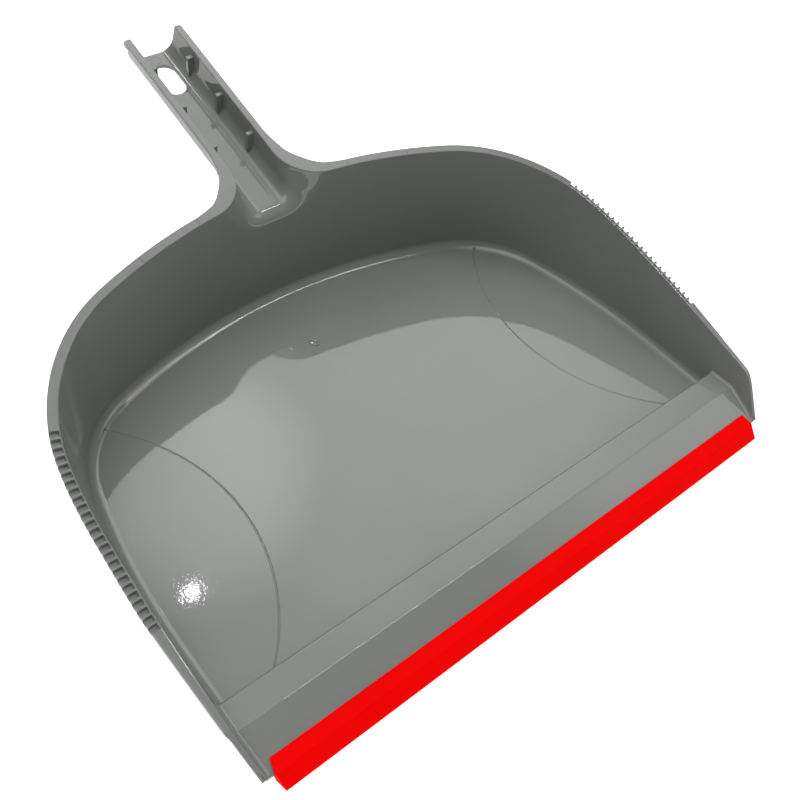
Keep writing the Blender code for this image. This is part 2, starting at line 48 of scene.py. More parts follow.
SLOPE_SHARE = 0.2  # the wall's slope is taken from its foot up to this share
PLACE_STEP = 0.01  # small step along the outline that gives its direction
LOW_WALL = 1.5  # a wall no taller than this many fillets has no upper rows
FRONT_Y = -0.15905
RIM_HEIGHT = 0.05776
RIM_ANGLE = math.atan(0.24)
RIM_CORNER = -0.1440
FRONT_CORNER_HEIGHT = 0.0050
CORNER_BLEND = 0.0030

# An outline is a straight side, then three arcs that turn it through a right angle to the back.
TURNS = (math.radians(14.0), math.radians(56.0), math.radians(20.0))
RIM_OUTLINE = dict(half_width=0.1551, straight_end=-0.05945, radii=(0.155, 0.082))
FLOOR_OUTLINE = dict(half_width=0.1489, straight_end=-0.09325, radii=(0.342, 0.0599))
RIM_FRONT_HALF_WIDTH = 0.1539
RIM_WAIST = 0.0010
RIM_WAIST_Y = -0.0500
RIM_WAIST_REACH = 0.0420
RIM_WAIST_END = 2.9  # the last place that the waist can move

CHANNEL_HALF_WIDTH = 0.0126
CHANNEL_DEPTH = 0.0145
CHANNEL_DRAFT = math.radians(4.0)
CHANNEL_CORNER = 0.0070
HANDLE_END = 0.16600
MOUTH_RADIUS_TOP = 0.0200
MOUTH_RADIUS_BOTTOM = 0.0055
MOUTH_EASE = 1.2  # how the rounding shrinks with depth
MOUTH_RIM_STEP = 0.02  # steps past the mouth's edge that give the direction there
MOUTH_WALL_STEP = 0.0005
CIRCLE_EASE = 0.5523  # makes a cubic curve follow a quarter of a circle

FLANGE_WIDTH = 0.0046
FLANGE_FRONT_WIDTH = 0.00265
FLANGE_TAPER = 0.050
FLANGE_HANDLE_WIDTH = 0.0041
FLANGE_EXTRA = 0.0042
FLANGE_EXTRA_REACH = 0.030
FLANGE_EXTRA_X = 0.0178
FLANGE_RISE = 0.0003
FLANGE_SKIRT = 0.0025
FLANGE_LEAN = 0.0006

TOOTH_COUNT = 25
TOOTH_FRONT_Y = -0.09885
TOOTH_PITCH = 0.00355
TOOTH_GAP_TOP = 0.0026
TOOTH_GAP_BOTTOM = 0.0019
TOOTH_GAP_DEPTH = 0.0020
TOOTH_GAP_INSET = 0.0006

RIM_MARKS_X = (0.0432, 0.0766)
RIM_MARK_WIDTH = 0.0005
RIM_MARK_DEPTH = 0.00025

STEP_FOOT_Y = -0.12565
STEP_TOP_Y = -0.12735
RIDGE_Y = -0.14035
TONGUE_FRONT_Y = -0.15935
RAMP_HEIGHT = 0.0123
RAMP_FALL = 0.40
RAMP_CLEARANCE = 0.0003
HOLLOW_SHY = 0.0024
HOLLOW_HEIGHT = 0.0080

LENS_CENTRE = (0.191, -0.05035)
LENS_RADIUS = 0.101
LENS_BACK = 0.0700
LENS_FRONT = 0.0006
GROOVE_WIDTH = 0.00107
GROOVE_DEPTH = 0.00040

RIB_PLACES = (0.0914, 0.1194, 0.1470)
RIB_THICKNESS = 0.0022
RIB_TOP = 0.0026
RIB_FOOT = 0.0123
RIB_REACH = 0.0039
RIB_SOLE = (0.0014, 0.0003)
RIB_BELLY = (0.0008, 0.65)

SLOT_CENTRE = 0.1470
SLOT_LENGTH = 0.0205
SLOT_WIDTH = 0.0122

LIP_HALF_LENGTH = 0.1454
LIP_GAP = 0.0003
LIP_LEG = 0.0009
LIP_BACK_Y = -0.1540
LIP_NOSE_Y = -0.16615
LIP_CHAMFER = 0.0003
LIP_BROW = (0.0006, 1.15)
LIP_TIP = (0.0004, 0.0006)
LIP_THROAT = (0.0009, 0.0011)
LIP_LOWER_SHORTER = 0.0012
OVERLAP = 0.0010

# --- finish that only the visual model has ---
EDGE_ROUNDING = 0.0005  # the handle's end
RIM_INSET = 0.0001  # the rim's inner face, behind the wall's
RIM_TRIM = 0.0001  # keeps the finely rounded rim within the coarser CAD outline
FRONT_EDGE_WIDTH = 0.00225  # the rim is hardly wider than the wall on the front slope
FRONT_EDGE_SKIRT = 0.0010
RIM_INNER_ROUNDING = 0.0003
RIM_OUTER_ROUNDING = 0.0005
RIM_LOWER_ROUNDING = 0.0003
TIP_ROUNDING = 0.0008  # the rim's two ends on the handle
RIM_POCKET = 0.0023  # how deep the tray's wall makes room for the comb
RIM_POCKET_INSET = 0.0003
RAMP_END_RADIUS = 0.0022  # where the ramp meets the side walls
LIP_BULGE = 0.0011  # the lip's ends are fuller in the middle
LIP_END_CUT = (0.0005, 12.0)  # and cut back at the rear edge: how far, and how steeply
LIP_ROUNDINGS = (0.00008, 0.0003, 0.0009, 0.0002, 0.0001, 0.0006, 0.0002, 0.0001, 0.0002, 0.0002)
GATE_MARK = (-0.0027, 0.0102)  # on the floor, with the ejector mark beside it
GATE_RADIUS = 0.0025
GATE_SECTION = ((1.0, -0.10), (0.95, 0.12), (0.60, 0.22), (0.30, 0.08), (0.02, 0.16))
GATE_RAGGED = ((0.12, 3.0, 0.0), (0.07, 5.0, 1.0))  # its edge: depth, bumps and turn of two waves
EJECTOR_MARK = (-0.0024, 0.0194)
EJECTOR_RADIUS = 0.0045
HANDLE_MARK = 0.1615  # an ejector mark in the channel, along the handle
HANDLE_MARK_RADIUS = 0.0026
MARK_LINE = 0.00026
MARK_SECTION = ((-1.5, -0.5), (-0.5, 0.35), (0.5, 0.35), (1.5, -0.5))
TOOTH_EDGE = 0.00012
TOOTH_CORNER = 0.0002
STEP_EDGE_RADIUS = 0.0012
RIDGE_RADIUS = 0.0015
TONGUE_ROUNDING = 0.0003
SLOT_CHAMFER = 0.0003
RIB_ROUNDING = 0.0003
RAMP_FOOT_ROUNDING = 0.0002
RAMP_SEAT = 0.0008  # how far the ramp's ends reach into the walls
RAMP_END_DEPTH = 0.0004  # how far the ramp's end fillets reach into the ramp and walls
RAMP_END_STOP = 0.97  # they stop just short of the tongue's front edge
RAMP_END_LIFT = 0.00002
GROOVE_SOFTNESS = 0.65  # half width of the rounded groove, in groove widths
CUT_HEADROOM = 0.0010  # how far cutters stand out of the surface that they cut
CUT_BELOW = 0.0050
CUT_AHEAD = 0.0100
HAIR = 0.00001  # a distance too small to matter
SHARP_ANGLE = math.radians(32.0)
BEVEL_ANGLE = math.radians(50.0)

# Where the finer meshes have their rows.
CORNER_SPAN = (0.70, 1.25)  # round the front corner, in lengths of the front slope
TANGENT_REACH = 0.0008
TIP_STATIONS = (0.03, 0.1, 0.2, 0.35, 0.55, 0.8)  # in tip roundings from the handle's end
GAP_STATIONS = (0.0, 0.45, 0.7, 0.8, 0.88, 0.95, 1.02, 1.09, 1.16, 1.23, 1.30, 1.37, 1.44, 1.60)
GAP_SPREAD = 1.3  # this many of those units are half a comb gap
MARK_STATIONS = (-0.7, -0.5, -0.4, 0.0, 0.4, 0.5, 0.7)  # in mark widths

# --- surfaces ---
PLASTIC_COLOURS = ((0.183, 0.192, 0.181), (0.195, 0.204, 0.192))
PLASTIC_ROUGHNESS = (0.02, 0.04)
HAIRLINE_ROUGHNESS = 0.10
HAIRLINES = (((1.0, 24.0, 1.0), 0.72, 0.76), ((20.0, 1.2, 1.0), 0.73, 0.77))  # stretch and limits
HAIRLINE_SCALE = 60.0
BLOTCH_SCALE, PATCH_SCALE, WAVE_SCALE = 18.0, 45.0, 11.0
WAVE_HEIGHT = 0.0006  # faint unevenness of the moulded faces
LENS_DISH = 0.0007  # the lens-shaped floor areas are dished a little
PLASTIC_GRAIN = (700.0, 2.0, 0.05)  # scale, detail and strength
RUBBER_COLOURS = ((0.82, 0.0005, 0.0004), (0.87, 0.001, 0.0008))
RUBBER_ROUGHNESS = (0.42, 0.58)
RUBBER_BLOTCH_SCALE, RUBBER_PATCH_SCALE = 30.0, 90.0
RUBBER_SHINE = 0.02
RUBBER_GRAIN = (900.0, 3.0, 0.15)
GRAIN_HEIGHT = 0.0002
NOISE_SPAN = (0.3, 0.7)  # most of a noise's values lie between these

# --- studio and camera ---
FLOOR_HALF = 3.0
FLOOR_DROP = 0.0005
FLOOR_GREY = 0.93
FLOOR_ROUGHNESS = 0.9
FLOOR_GLOW = 0.7

AMBIENT = 0.26  # brightness of the studio, relative to a white surface
SOFT_LIGHTS = (  # direction, fading from and to this far off it, brightness
    ((0.516, 0.465, 0.719), 3.0, 20.0, 2.6),
    ((0.26, 0.52, 0.815), 2.0, 9.0, 2.7),
    ((0.24, 0.27, 0.93), 3.0, 13.0, 1.0),
    ((0.70, -0.30, 0.65), 4.0, 18.0, 1.8),
    ((-0.30, -0.05, 0.95), 6.0, 32.0, 2.7),
    ((0.213, 0.439, 0.872), 0.15, 0.4, 60.0))
TUBE_LIGHTS = (  # the plane it lies in, half its thickness, its two ends
    ((0.0, 1.0, 0.0), -0.03, 0.030, (1.0, 0.0, 0.0), (0.20, 0.52)),
    ((1.0, 0.0, 0.0), -0.05, 0.022, (0.0, 1.0, 0.0), (0.33, 0.62)))
TUBE_GLOW = 38.0
TUBE_FADE = 0.06
HORIZON_FADE = 0.1  # the tubes fade out towards the horizon
CAMERA_PLACE = (-0.2274, -0.26355, 0.3802)
CAMERA_AIM = (0.4763, 0.4405, -0.7610)
CAMERA_ROLL = math.radians(10.1)
CAMERA_LENS, CAMERA_SENSOR, CAMERA_NEAR = 45.0, 36.0, 0.01  # millimetres, millimetres, metres


# --- small helpers ---
def unit(vector):
    return vector / np.linalg.norm(vector)


def mix(a, b, share):
    return a + (b - a) * share


def clamp(value):
    return min(max(value, 0.0), 1.0)


def smooth_step(value):
    value = clamp(value)
    return value * value * (3.0 - 2.0 * value)


def arc_points(start, corner, end, weight, count):
    """Points on a circular arc that rounds a corner; weight is the sine of half its angle."""
    points = []
    for index in range(count + 1):
        t = index / count
        a, b, c = (1 - t) ** 2, 2 * t * (1 - t) * weight, t ** 2
        points.append((a * start + b * corner + c * end) / (a + b + c))
    return points


def rim_plane(y):
    return RIM_HEIGHT + math.tan(RIM_ANGLE) * y


def handle_point(along, x, depth):
    """A point given along the handle, across it, and square down from the rim plane."""
    y = along * math.cos(RIM_ANGLE) + depth * math.sin(RIM_ANGLE)
    z = RIM_HEIGHT + along * math.sin(RIM_ANGLE) - depth * math.cos(RIM_ANGLE)
    return np.array([x, y, z])


# --- the wall, ruled from floor outline to rim outline ---
def outline_point(outline, place):
    """place: 0 to 1 on the straight side, then one for each arc; 4 is the middle of the back."""
    half_width, straight_end = outline["half_width"], outline["straight_end"]
    if place <= 1.0:
        return np.array([half_width, mix(FRONT_Y, straight_end, place)])
    x, y, turned = half_width, straight_end, 0.0
    for index, turn in enumerate(TURNS):
        last = index == len(TURNS) - 1
        radius = x / math.cos(turned) if last else outline["radii"][index]
        share = clamp(place - 1.0 - index)
        angle = turned + turn * share
        x += radius * (math.cos(angle) - math.cos(turned))
        y += radius * (math.sin(angle) - math.sin(turned))
        turned = angle
        if share < 1.0:
            break
    return np.array([x, y])


def rim_point(place):
    """The rim outline in the rim plane, drawn in towards the front and along the comb."""
    x, y = outline_point(RIM_OUTLINE, place)
    if place < 1.0:
        forward = (RIM_OUTLINE["straight_end"] - y) / (RIM_OUTLINE["straight_end"] - RIM_CORNER)
        x -= (RIM_OUTLINE["half_width"] - RIM_FRONT_HALF_WIDTH) * forward ** 2
    if place < RIM_WAIST_END:
        offset = min(abs(y - RIM_WAIST_Y) / RIM_WAIST_REACH, 1.0)
        x -= RIM_WAIST * math.cos(math.pi / 2.0 * offset) ** 2
    return np.array([x, y, rim_plane(y)])


def floor_point(place):
    x, y = outline_point(FLOOR_OUTLINE, place)
    return np.array([x, y, WALL])


def wall_point(place, share):
    return mix(floor_point(place), rim_point(place), share)


def rim_top(y):
    """Height of the wall's top edge: the rim plane, then down to the front corner."""
    slope = (rim_plane(RIM_CORNER) - FRONT_CORNER_HEIGHT) / (RIM_CORNER - FRONT_Y)
    flat, steep = rim_plane(y), FRONT_CORNER_HEIGHT + slope * (y - FRONT_Y)
    gap = (steep - flat) / (slope * CORNER_BLEND)
    if gap >= 1.0:
        return flat
    if gap <= -1.0:
        return steep
    return flat - slope * CORNER_BLEND * (1.0 - gap) ** 2 / 4.0


def top_share(place):
    """Where the wall line at this place meets the wall's top edge."""
    share = 1.0
    foot, height = WALL, rim_point(place)[2] - WALL
    for _ in range(30):
        share = (rim_top(wall_point(place, share)[1]) - foot) / height
    return share


def wall_place(x, z):
    """The place and share of the back wall's point with this x and z."""
    low, high = 2.0, 4.0
    for _ in range(40):
        place = (low + high) / 2.0
        share = (z - WALL) / (rim_point(place)[2] - WALL)
        if wall_point(place, share)[0] > x:
            low = place
        else:
            high = place
    return place, share


def fillet_points(place, count):
    """Points from the wall, round the fillet, to the flat floor."""
    foot, above = floor_point(place), wall_point(place, SLOPE_SHARE)
    ahead = floor_point(min(place + PLACE_STEP, 4.0))
    behind = floor_point(max(place - PLACE_STEP, 0.0))
    along = unit(ahead - behind)
    inward = np.array([-along[1], along[0], 0.0]) if place < 4.0 else np.array([0.0, -1.0, 0.0])
    if place <= 1.0:
        inward = np.array([-1.0, 0.0, 0.0])
    upward = unit(above - foot)
    half_angle = math.acos(float(upward @ inward)) / 2.0
    reach = FLOOR_FILLET / math.tan(half_angle)
    start, end = foot + upward * reach, foot + inward * reach
    return arc_points(start, foot, end, math.sin(half_angle), count)


# --- the handle's channel and its rounded mouth ---
def channel_profile(straight, corner, flat):
    """Rows of (x, depth, angle of the outward normal), from the rim to the channel's middle."""
    centre_depth = CHANNEL_DEPTH - CHANNEL_CORNER
    cos_draft, sin_draft = math.cos(CHANNEL_DRAFT), math.sin(CHANNEL_DRAFT)
    centre_x = CHANNEL_HALF_WIDTH - (CHANNEL_CORNER + centre_depth * sin_draft) / cos_draft
    end_depth = centre_depth + CHANNEL_CORNER * sin_draft
    rows = []
    for index in range(straight):
        depth = end_depth * index / straight
        x = CHANNEL_HALF_WIDTH - depth * math.tan(CHANNEL_DRAFT)
        rows.append((x, depth, CHANNEL_DRAFT * index / straight))
    for index in range(corner + 1):
        angle = mix(CHANNEL_DRAFT, math.pi / 2.0, index / corner)
        x = centre_x + CHANNEL_CORNER * math.cos(angle)
        rows.append((x, centre_depth + CHANNEL_CORNER * math.sin(angle), angle))
    for index in range(1, flat + 1):
        rows.append((centre_x * (1.0 - index / flat), CHANNEL_DEPTH, math.pi / 2.0))
    return rows


def wall_meets_line(x, depth):
    """Where a line along the channel meets the back wall, as a distance along the handle."""
    along = 0.055
    for _ in range(20):
        point = handle_point(along, x, depth)
        place, share = wall_place(x, point[2])
        along += (wall_point(place, share)[1] - point[1]) / math.cos(RIM_ANGLE)
    return along


def mouth_curve(row, count):
    """One line round the mouth: from the back wall (first point) into the channel (last point)."""
    x, depth, angle = row
    radius = mix(MOUTH_RADIUS_TOP, MOUTH_RADIUS_BOTTOM, (depth / CHANNEL_DEPTH) ** MOUTH_EASE)
    along = wall_meets_line(x, depth)
    corner = handle_point(along, x, depth)
    outward = handle_point(0.0, math.cos(angle), math.sin(angle)) - handle_point(0.0, 0.0, 0.0)
    if depth == 0.0:
        place = wall_place(x + radius, corner[2])[0]
        edge, beyond = rim_point(place), rim_point(place - MOUTH_RIM_STEP)
        where = (place, 1.0)
    else:
        target = corner + outward * radius
        where = wall_place(target[0], target[2])
        edge = wall_point(*where)
        beyond = target + outward * MOUTH_WALL_STEP
        beyond = wall_point(*wall_place(beyond[0], beyond[2]))
    inner = corner + unit(handle_point(1.0, 0.0, 0.0) - handle_point(0.0, 0.0, 0.0)) * radius
    ease = CIRCLE_EASE * radius
    handle_in = inner - unit(inner - corner) * ease
    handle_out = edge - unit(beyond - edge) * ease
    points = []
    for index in range(count + 1):
        t = index / count
        a, b, c, d = (1 - t) ** 3, 3 * t * (1 - t) ** 2, 3 * t ** 2 * (1 - t), t ** 3
        points.append(a * edge + b * handle_out + c * handle_in + d * inner)
    return points, where


# --- the inner surface of one half, as grids of points ---
def side_places(count=26):
    """Places along the straight side, close together where the rim turns down."""
    length = RIM_OUTLINE["straight_end"] - FRONT_Y
    turn = (RIM_CORNER - FRONT_Y) / length
    steep = [turn * index / 12.0 for index in range(9)]
    bend = [turn * mix(*CORNER_SPAN, index / 14.0) for index in range(14)]
    return steep + bend + [mix(turn * CORNER_SPAN[1], 1.0, index / count) for index in range(count)]


def wall_column(place, share, rows, fillet_rows):
    """Points down the wall from its top share to the floor."""
    fillet = fillet_points(place, fillet_rows)
    foot_share = (fillet[0][2] - WALL) / (rim_point(place)[2] - WALL)
    if share < foot_share * LOW_WALL:
        low, count = wall_point(place, share), rows + fillet_rows
        return [mix(low, fillet[-1], index / count) for index in range(count + 1)]
    shares = [mix(share, foot_share, index / rows) for index in range(rows)]
    return [wall_point(place, share) for share in shares] + fillet


def fan_column(start, place, rows, fillet_rows):
    """Points down the wall from the edge of the mouth to the floor, spreading sideways."""
    fillet = fillet_points(place, fillet_rows)
    foot_share = (fillet[0][2] - WALL) / (rim_point(place)[2] - WALL)
    upper = []
    for index in range(rows):
        t = index / rows
        upper.append(wall_point(mix(start[0], place, t), mix(start[1], foot_share, t)))
    return upper + fillet


def pan_grids(arc_steps=(10, 40, 14), rows=12, fillet_rows=8, profile=(9, 16, 5), mouth_steps=16):
    """Grids of the wall and of the channel, and the points of the rim from front to handle end."""
    profile_rows = channel_profile(*profile)
    mouths = [mouth_curve(row, mouth_steps) for row in profile_rows]
    first_place = mouths[0][1][0]
    places = side_places()
    limits = (1.0, 2.0, 3.0, first_place)
    for low, high, steps in zip(limits[:-1], limits[1:], arc_steps):
        places += [mix(low, high, index / steps) for index in range(steps)]
    wall = [wall_column(place, top_share(place), rows, fillet_rows) for place in places]
    for index, (_, where) in enumerate(mouths):
        place = mix(first_place, 4.0, index / (len(mouths) - 1))
        wall.append(fan_column(where, place, rows, fillet_rows))
    wall[-1] = [point * np.array([0.0, 1.0, 1.0]) for point in wall[-1]]
    channel = []
    for (x, depth, _), (points, _) in zip(profile_rows, mouths):
        corner = wall_meets_line(x, depth)
        start = corner + np.linalg.norm(points[-1] - handle_point(corner, x, depth))
        run = [handle_point(mix(start, HANDLE_END, index / 30), x, depth) for index in range(1, 31)]
        channel.append(points + run)
    rim = [column[0] for column in wall[:len(places)]] + channel[0]
    return wall, channel, rim


# --- meshes ---
def add_grid(mesh, grid, closed=False):
    """Quads between neighbouring columns of a grid; closed joins each column's end to its start."""
    verts = [[mesh.verts.new(point) for point in column] for column in grid]
    for left, right in zip(verts[:-1], verts[1:]):
        for row in range(len(left) - (0 if closed else 1)):
            after = (row + 1) % len(left)
            mesh.faces.new((left[row], left[after], right[after], right[row]))
    return verts


def add_tube(mesh, rings):
    """A closed solid swept through rings of the same number of points."""
    verts = add_grid(mesh, rings, closed=True)
    mesh.faces.new(verts[0])
    mesh.faces.new(list(reversed(verts[-1])))


def finish_mesh(mesh, name):
    """Weld, face outwards and turn the bmesh into an object's mesh."""
    bmesh.ops.remove_doubles(mesh, verts=mesh.verts, dist=1e-6)
    bmesh.ops.dissolve_degenerate(mesh, edges=mesh.edges, dist=1e-7)
    bmesh.ops.recalc_face_normals(mesh, faces=mesh.faces)
    data = bpy.data.meshes.new(name)
    mesh.to_mesh(data)
    mesh.free()
    return data


def new_piece(name, data, material=None):
    piece = bpy.data.objects.new(name, data)
    bpy.context.scene.collection.objects.link(piece)
    if material:
        data.materials.append(material)
    return piece


def add_pair(mesh, rings):
    """A tube and its mirror image."""
    add_tube(mesh, rings)
    add_tube(mesh, [[point * np.array([-1.0, 1.0, 1.0]) for point in ring] for ring in rings])


def prism(outline, low, high, name):
    """A closed prism: a (y, z) outline between two x values, which may be functions of (y, z)."""
    rings = []
    for side in (low, high):
        rings.append([(side(y, z) if callable(side) else side, y, z) for y, z in outline])
    mesh = bmesh.new()
    add_tube(mesh, rings)
    return finish_mesh(mesh, name)


def rounded(corners, steps=6):
    """A closed outline of (y, z, radius) corners with each corner turned into an arc."""
    outline = []
    for index, (y, z, radius) in enumerate(corners):
        here = np.array([y, z])
        before = np.array(corners[index - 1][:2]) - here
        after = np.array(corners[(index + 1) % len(corners)][:2]) - here
        before, after = unit(before), unit(after)
        half = math.acos(float(np.clip(before @ after, -1.0, 1.0))) / 2.0
        reach = radius / math.tan(half)
        arc = arc_points(here + before * reach, here, here + after * reach, math.sin(half), steps)
        outline += [tuple(point) for point in arc]
    return outline


def apply_modifiers(piece):
    evaluated = piece.evaluated_get(bpy.context.evaluated_depsgraph_get())
    data = bpy.data.meshes.new_from_object(evaluated)
    piece.modifiers.clear()
    piece.data = data


def freeze(piece):
    """Applies the piece's modifiers, shades it smooth with crisp edges and returns it."""
    apply_modifiers(piece)
    piece.data.shade_smooth()
    piece.data.set_sharp_from_angle(angle=SHARP_ANGLE)
    normals = piece.modifiers.new("normals", "WEIGHTED_NORMAL")
    normals.keep_sharp = True
    normals.weight = 100
    return piece


def round_edges(piece, chosen, width):
    """Rounds the mesh's sharp edges whose middle the chooser accepts."""
    mesh = bmesh.new()
    mesh.from_mesh(piece.data)
    edges = [edge for edge in mesh.edges if edge.calc_face_angle(0.0) > BEVEL_ANGLE
             and chosen((edge.verts[0].co + edge.verts[1].co) / 2.0)]
    bmesh.ops.bevel(mesh, geom=edges, offset=width, segments=4, profile=0.5, affect="EDGES")
    mesh.to_mesh(piece.data)
    mesh.free()


def smooth_piece(name, mesh, material):
    return freeze(new_piece(name, finish_mesh(mesh, name), material))


def cut(piece, data):
    """Cuts a closed mesh out of the piece."""
    cutter = new_piece(data.name, data)
    modifier = piece.modifiers.new(cutter.name, "BOOLEAN")
    modifier.object = cutter
    modifier.operation = "DIFFERENCE"
    modifier.solver = "EXACT"
    return cutter


# --- tray and channel ---
def tray_mesh(wall, channel):
    """The open inner surface of one half: wall, channel and flat floor."""
    mesh = bmesh.new()
    add_grid(mesh, wall)
    add_grid(mesh, channel)
    edge = [column[-1] for column in wall]
    corner = np.array([0.0, FRONT_Y, WALL])
    mesh.faces.new([mesh.verts.new(point) for point in edge + [corner]])
    data = finish_mesh(mesh, "pan_inner_surface")
    if data.polygons[0].normal.x > 0.0:
        data.flip_normals()
    return data


def front_opening_mesh():
    """Clears the floor from under the hollow ramp."""
    side, low, high = FLOOR_OUTLINE["half_width"] - HOLLOW_SHY, -CUT_BELOW, HOLLOW_HEIGHT
    front, back = FRONT_Y - CUT_AHEAD, STEP_FOOT_Y - WALL / 2
    outline = [(front, low), (front, high), (back, high), (back, low)]
    return prism(outline, -side, side, "ramp_hollow")


def slot_ring(depth, grow):
    """The hang slot's outline, with round ends, at one depth below the rim plane."""
    radius, straight, steps = SLOT_WIDTH / 2, (SLOT_LENGTH - SLOT_WIDTH) / 2, 16
    ring = []
    for end in (1, -1):
        for index in range(steps + 1):
            angle = math.pi * index / steps
            x = (radius + grow) * math.cos(angle) * end
            along = (straight + (radius + grow) * math.sin(angle)) * end
            ring.append(handle_point(SLOT_CENTRE + along, x, depth))
    return ring


def slot_mesh():
    """The hang slot's cutter, flared a little at both faces of the channel floor."""
    upper, lower, over = CHANNEL_DEPTH, CHANNEL_DEPTH + WALL, CUT_HEADROOM
    rings = [
        slot_ring(upper - over, SLOT_CHAMFER + over), slot_ring(upper + SLOT_CHAMFER, 0.0),
        slot_ring(lower - SLOT_CHAMFER, 0.0), slot_ring(lower + over, SLOT_CHAMFER + over)]
    mesh = bmesh.new()
    add_tube(mesh, rings)
    return finish_mesh(mesh, "hang_slot")


def groove_section():
    """Offsets and heights of a floor groove's section: a soft hollow with rounded shoulders."""
    half, above = GROOVE_WIDTH * GROOVE_SOFTNESS, HAIR
    section = [(-half, half)]
    for index in range(15):
        across = index / 7.0 - 1.0
        hollow = 0.5 + 0.5 * math.cos(math.pi * across)
        section.append((half * across, above - (GROOVE_DEPTH + above) * hollow))
    return section + [(half, half)]


def groove_mesh():
    """Cutters of the two arched grooves in the floor."""
    start = math.asin((STEP_FOOT_Y + LENS_FRONT - LENS_CENTRE[1]) / LENS_RADIUS)
    end = math.asin(LENS_BACK / LENS_RADIUS)
    steps, rings = 70, []
    for index in range(steps + 1):
        angle = mix(start, end, index / steps)
        ring = []
        for offset, height in groove_section():
            radius = LENS_RADIUS + offset
            x = LENS_CENTRE[0] - radius * math.cos(angle)
            y = LENS_CENTRE[1] + radius * math.sin(angle)
            ring.append(np.array([x, y, WALL + height]))
        rings.append(ring)
    mesh = bmesh.new()
    add_pair(mesh, rings)
    return finish_mesh(mesh, "floor_grooves")


def pocket_mesh(line):
    """Clears the outer part of the wall's top where the rim carries the comb."""
    gaps = gap_lengths(line)
    rings = []
    for length in np.linspace(gaps[0] - TOOTH_PITCH, gaps[-1] + TOOTH_PITCH, 60):
        point, outward, upward = line.frame(length)
        inner, outer = point + outward * RIM_POCKET_INSET, point + outward * FLANGE_WIDTH
        rings.append([inner + upward * CUT_HEADROOM, outer + upward * CUT_HEADROOM,
                      outer - upward * RIM_POCKET, inner - upward * RIM_POCKET])
    mesh = bmesh.new()
    add_pair(mesh, rings)
    return finish_mesh(mesh, "comb_pocket")


def make_tray(wall, channel, line, material):
    tray = new_piece("pan_tray", tray_mesh(wall, channel), material)
    mirror = tray.modifiers.new("halves", "MIRROR")
    mirror.merge_threshold = HAIR
    shell = tray.modifiers.new("shell", "SOLIDIFY")
    shell.thickness = WALL
    shell.offset = -1.0
    shell.use_even_offset = True
    apply_modifiers(tray)
    end = Vector(handle_point(HANDLE_END, 0.0, 0.0))
    along = Vector((0.0, math.cos(RIM_ANGLE), math.sin(RIM_ANGLE)))
    round_edges(tray, lambda point: (point - end) @ along > -0.0001, EDGE_ROUNDING)
    tools = (front_opening_mesh(), slot_mesh(), groove_mesh(), pocket_mesh(line))
    cutters = [cut(tray, data) for data in tools]
    freeze(tray)
    for cutter in cutters:
        bpy.data.objects.remove(cutter, do_unlink=True)
    return tray


# --- rim, with the comb cut into it ---
class RimLine:
    """The rim's inner edge as a line measured by its length, from the front to the handle's end."""

    def __init__(self, points):
        self.points = np.array(points)
        steps = np.linalg.norm(np.diff(self.points, axis=0), axis=1)
        self.lengths = np.concatenate([[0.0], np.cumsum(steps)])
        self.total = self.lengths[-1]
        self.middle = self.lengths[np.argmax(self.points[:, 0] < FLANGE_EXTRA_X)]

    def point(self, length):
        return np.array([np.interp(length, self.lengths, axis) for axis in self.points.T])

    def frame(self, length):
        """Point, outward direction and upward direction."""
        ahead, behind = min(length + TANGENT_REACH, self.total), max(length - TANGENT_REACH, 0.0)
        tangent = unit(self.point(ahead) - self.point(behind))
        upward = np.array([0.0, -math.sin(RIM_ANGLE), math.cos(RIM_ANGLE)])
        outward = unit(np.cross(tangent, upward))
        return self.point(length), outward, np.cross(outward, tangent)

    def length_at_y(self, y):
        return float(np.interp(y, self.points[:, 1], self.lengths))

    def length_at_x(self, x):
        return float(np.interp(-x, -self.points[:, 0], self.lengths))

    def past_corner(self, length):
        """0 on the front slope, 1 behind the corner."""
        return smooth_step((self.point(length)[1] - RIM_CORNER) / CORNER_BLEND + 0.5)

    def width(self, length):
        """Width of the rim, with its wider joint to the handle and its rounded tips."""
        offset = (length - self.middle) / FLANGE_EXTRA_REACH
        extra = FLANGE_EXTRA * math.cos(math.pi / 2.0 * min(abs(offset), 1.0)) ** 2
        from_front = clamp((self.point(length)[1] - RIM_CORNER) / FLANGE_TAPER)
        width = mix(FLANGE_WIDTH, FLANGE_HANDLE_WIDTH, clamp((offset + 1.0) / 2.0))
        front_width = mix(FRONT_EDGE_WIDTH, FLANGE_FRONT_WIDTH, self.past_corner(length))
        width = mix(front_width, width, from_front) + extra - RIM_TRIM
        past = max(TIP_ROUNDING - (self.total - length), 0.0)
        return width - TIP_ROUNDING + math.sqrt(max(TIP_ROUNDING ** 2 - past ** 2, 0.0))


def gap_lengths(line):
    """Where the comb's gaps are, as lengths along the rim."""
    lengths, y = [], TOOTH_FRONT_Y + TOOTH_PITCH / 2.0
    for _ in range(TOOTH_COUNT):
        length = line.length_at_y(y)
        lengths.append(length)
        tangent = unit(line.point(length + TANGENT_REACH) - line.point(length - TANGENT_REACH))
        y += TOOTH_PITCH * tangent[1] / math.cos(RIM_ANGLE)
    return lengths


